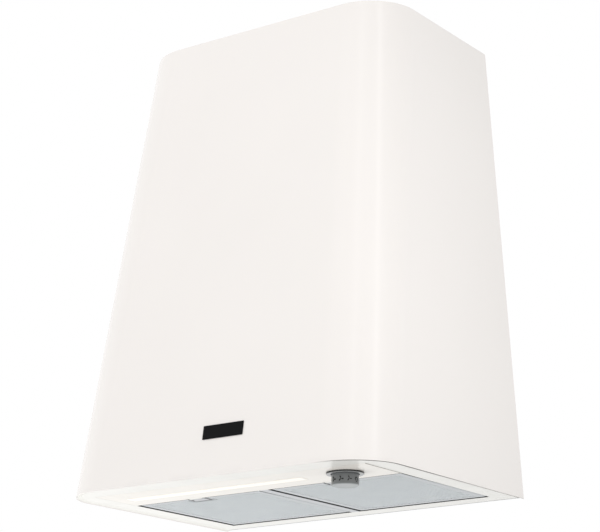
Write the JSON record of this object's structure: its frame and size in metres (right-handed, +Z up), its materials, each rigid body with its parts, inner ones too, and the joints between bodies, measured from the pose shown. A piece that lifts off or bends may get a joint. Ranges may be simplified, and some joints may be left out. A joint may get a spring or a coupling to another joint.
{
  "type": "wall-mounted cooker hood",
  "caption": "Tapered wall-mounted cooker hood with round front corners, hinged mesh filters, strip lamp, rotary knob, inner centrifugal blower and a round duct collar with flaps.",
  "frame": {"origin": "on the wall, in the middle of the four wall holes of the back plate", "axes": "+X to the right as seen from the front, +Y into the wall, +Z up"},
  "size_m": [0.497, 0.388, 0.69],
  "materials": {
    "cream_paint": "gloss enamel",
    "galvanised_sheet": "zinc coated",
    "steel": "plain",
    "filter_aluminium": "satin",
    "satin_silver": "satin metallic",
    "dark_plate": "gloss",
    "opal_lens": "opal",
    "dark_plastic": "fine grain",
    "grey_plastic": "fine grain",
    "wheel_plastic": "fine grain",
    "box_plastic": "fine grain",
    "rubber": "matt",
    "lead_sheath": "matt",
    "winding": "enamelled wire",
    "board": "lacquered",
    "lamp_board": "white lacquer",
    "led": "gloss"
  },
  "bodies": {
    "hood": {"casing": "cream_paint", "top_cover": "cream_paint", "bottom_frame": "cream_paint", "control_panel": "cream_paint", "back_plate": "galvanised_sheet", "blower_bracket_left": "galvanised_sheet", "blower_bracket_right": "galvanised_sheet", "motor_bracket": "galvanised_sheet", "lamp_housing": "galvanised_sheet", "lamp_nuts": "steel", "switch_nut": "steel", "motor_can": "steel", "motor_cap": "steel", "motor_bearings": "steel", "flap_pin": "steel", "casing_screws": "steel", "panel_screws": "steel", "blower_screws": "steel", "outlet_screws": "steel", "box_screws": "steel", "center_bar": "filter_aluminium", "knob_collar": "satin_silver", "badge": "dark_plate", "lamp_lens": "opal_lens", "rotary_switch": "dark_plastic", "inlet_guard": "dark_plastic", "collar_flange": "dark_plastic", "outlet_collar": "dark_plastic", "cable_gland": "dark_plastic", "scroll_left": "grey_plastic", "scroll_right": "grey_plastic", "outlet_adapter": "grey_plastic", "control_box": "box_plastic", "control_box_lid": "box_plastic", "capacitor": "box_plastic", "rubber_mounts": "rubber", "inner_leads": "lead_sheath", "stator": "winding", "circuit_board": "board", "terminal_block": "board", "transformer": "board", "lamp_board": "lamp_board", "led_chips": "led"},
    "knob": {"knob": "satin_silver", "switch_spindle": "steel"},
    "filter_left": {"filter_left_frame": "filter_aluminium", "filter_left_mesh": "filter_aluminium", "filter_left_foil": "filter_aluminium", "latch_left_spring": "steel"},
    "latch_left": {"latch_left": "grey_plastic"},
    "filter_right": {"filter_right_frame": "filter_aluminium", "filter_right_mesh": "filter_aluminium", "filter_right_foil": "filter_aluminium", "latch_right_spring": "steel"},
    "latch_right": {"latch_right": "grey_plastic"},
    "impeller": {"impeller": "wheel_plastic", "motor_shaft": "steel", "rotor": "steel"},
    "flap_rear": {"flap_rear": "grey_plastic"},
    "flap_front": {"flap_front": "grey_plastic"}
  },
  "joints": [
    {"name": "knob_turn", "type": "hinge", "parent": "hood", "child": "knob", "pos_m": [0.158, -0.3, -0.445], "axis": [0, 0, 1], "range_deg": [-108, 72]},
    {"name": "filter_left_tilt", "type": "hinge", "parent": "hood", "child": "filter_left", "pos_m": [-0.11025, -0.04, -0.4385], "axis": [1, 0, 0], "range_deg": [0, 60]},
    {"name": "latch_left_slide", "type": "slide", "parent": "filter_left", "child": "latch_left", "axis": [0, 1, 0], "range_m": [0, 0.006], "stiffness_N_per_m": 300, "springref_m": -0.004, "deforming": ["latch_left_spring"]},
    {"name": "filter_right_tilt", "type": "hinge", "parent": "hood", "child": "filter_right", "pos_m": [0.11025, -0.04, -0.4385], "axis": [1, 0, 0], "range_deg": [0, 60]},
    {"name": "latch_right_slide", "type": "slide", "parent": "filter_right", "child": "latch_right", "axis": [0, 1, 0], "range_m": [0, 0.006], "stiffness_N_per_m": 300, "springref_m": -0.004, "deforming": ["latch_right_spring"]},
    {"name": "impeller_spin", "type": "hinge", "parent": "hood", "child": "impeller", "pos_m": [0, -0.1895, -0.015], "axis": [1, 0, 0], "continuous": true},
    {"name": "flap_rear_swing", "type": "hinge", "parent": "hood", "child": "flap_rear", "pos_m": [0, -0.1025, 0.2096], "axis": [1, 0, 0], "range_deg": [0, 75]},
    {"name": "flap_front_swing", "type": "hinge", "parent": "hood", "child": "flap_front", "pos_m": [0, -0.1025, 0.2096], "axis": [-1, 0, 0], "range_deg": [0, 75]}
  ]
}
